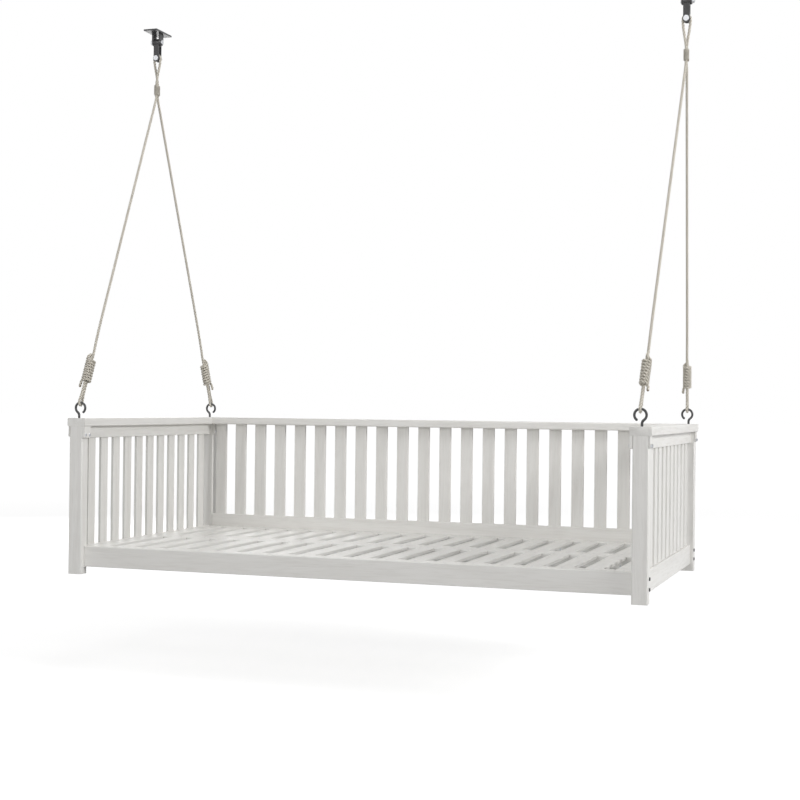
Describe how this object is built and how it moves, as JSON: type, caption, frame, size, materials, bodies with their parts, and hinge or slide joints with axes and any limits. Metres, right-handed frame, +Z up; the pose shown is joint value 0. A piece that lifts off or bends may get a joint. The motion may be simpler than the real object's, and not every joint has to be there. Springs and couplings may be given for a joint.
{
  "type": "hanging swing bed",
  "caption": "Hanging swing bed: slatted wooden daybed with open front, hung from ceiling plates by two forked ropes that are knotted to steel hooks on its corner posts.",
  "frame": {"origin": "middle of the four ceiling screw holes, in the plane of the ceiling, above the bed's balance point", "axes": "+X to the right along the bed's length, +Y towards the slatted back, +Z up"},
  "size_m": [2.071, 1.049, 2.015],
  "materials": {
    "painted_wood": "satin off-white paint",
    "bare_wood": "unfinished",
    "dark_steel": "black coated",
    "bright_steel": "zinc plated",
    "rope": "three-strand laid rope"
  },
  "bodies": {
    "ceiling_fittings": {"left_ceiling_plate": "dark_steel", "right_ceiling_plate": "dark_steel", "left_hanger_pin": "bright_steel", "right_hanger_pin": "bright_steel", "hanger_pin_nuts": "bright_steel"},
    "swing_links": {"left_swing_link": "dark_steel", "right_swing_link": "dark_steel", "left_rope_pin": "bright_steel", "right_rope_pin": "bright_steel", "rope_pin_nuts": "bright_steel"},
    "left_ropes": {"left_rope": "rope", "left_front_knot": "rope", "left_rear_knot": "rope", "left_seizing": "rope"},
    "right_ropes": {"right_rope": "rope", "right_front_knot": "rope", "right_rear_knot": "rope", "right_seizing": "rope"},
    "bed": {"left_front_hook": "dark_steel", "left_rear_hook": "dark_steel", "right_front_hook": "dark_steel", "right_rear_hook": "dark_steel", "left_front_post": "painted_wood", "left_rear_post": "painted_wood", "right_front_post": "painted_wood", "right_rear_post": "painted_wood", "left_cap_rail": "painted_wood", "right_cap_rail": "painted_wood", "back_cap_rail": "painted_wood", "left_top_rail": "painted_wood", "right_top_rail": "painted_wood", "left_bottom_rail": "painted_wood", "right_bottom_rail": "painted_wood", "front_rail": "painted_wood", "back_rail": "painted_wood", "centre_rail": "painted_wood", "left_side_slats": "painted_wood", "right_side_slats": "painted_wood", "back_slats": "painted_wood", "front_deck_slats": "painted_wood", "rear_deck_slats": "painted_wood", "front_ledger": "painted_wood", "centre_front_ledger": "painted_wood", "centre_rear_ledger": "painted_wood", "rear_ledger": "painted_wood", "post_head_blocks": "painted_wood", "post_head_plates": "painted_wood", "post_head_bolts": "bright_steel", "post_head_nuts": "bright_steel", "frame_bolts": "dark_steel", "barrel_nuts": "bright_steel", "panel_dowels": "bare_wood", "cap_dowels": "bare_wood", "deck_screws": "bright_steel", "ledger_screws": "bright_steel"}
  },
  "joints": [
    {"name": "swing", "type": "hinge", "parent": "ceiling_fittings", "child": "swing_links", "pos_m": [0, 0, -0.038], "axis": [1, 0, 0], "range_deg": [-20, 20]},
    {"name": "sway", "type": "hinge", "parent": "swing_links", "child": "left_ropes", "pos_m": [-1.0075, 0, -0.1], "axis": [0, 1, 0], "range_deg": [-6, 6]},
    {"name": "sway_right", "type": "hinge", "parent": "swing_links", "child": "right_ropes", "pos_m": [1.0075, 0, -0.1], "axis": [0, 1, 0], "range_deg": [-6, 6]},
    {"name": "level", "type": "hinge", "parent": "left_ropes", "child": "bed", "pos_m": [-0.966, 0, -1.444], "axis": [0, 1, 0], "range_deg": [-6.4, 6.4]}
  ],
  "couplings": [
    {"joint": "sway_right", "follows": "sway", "ratio": 1},
    {"joint": "level", "follows": "sway", "ratio": -1.043}
  ]
}
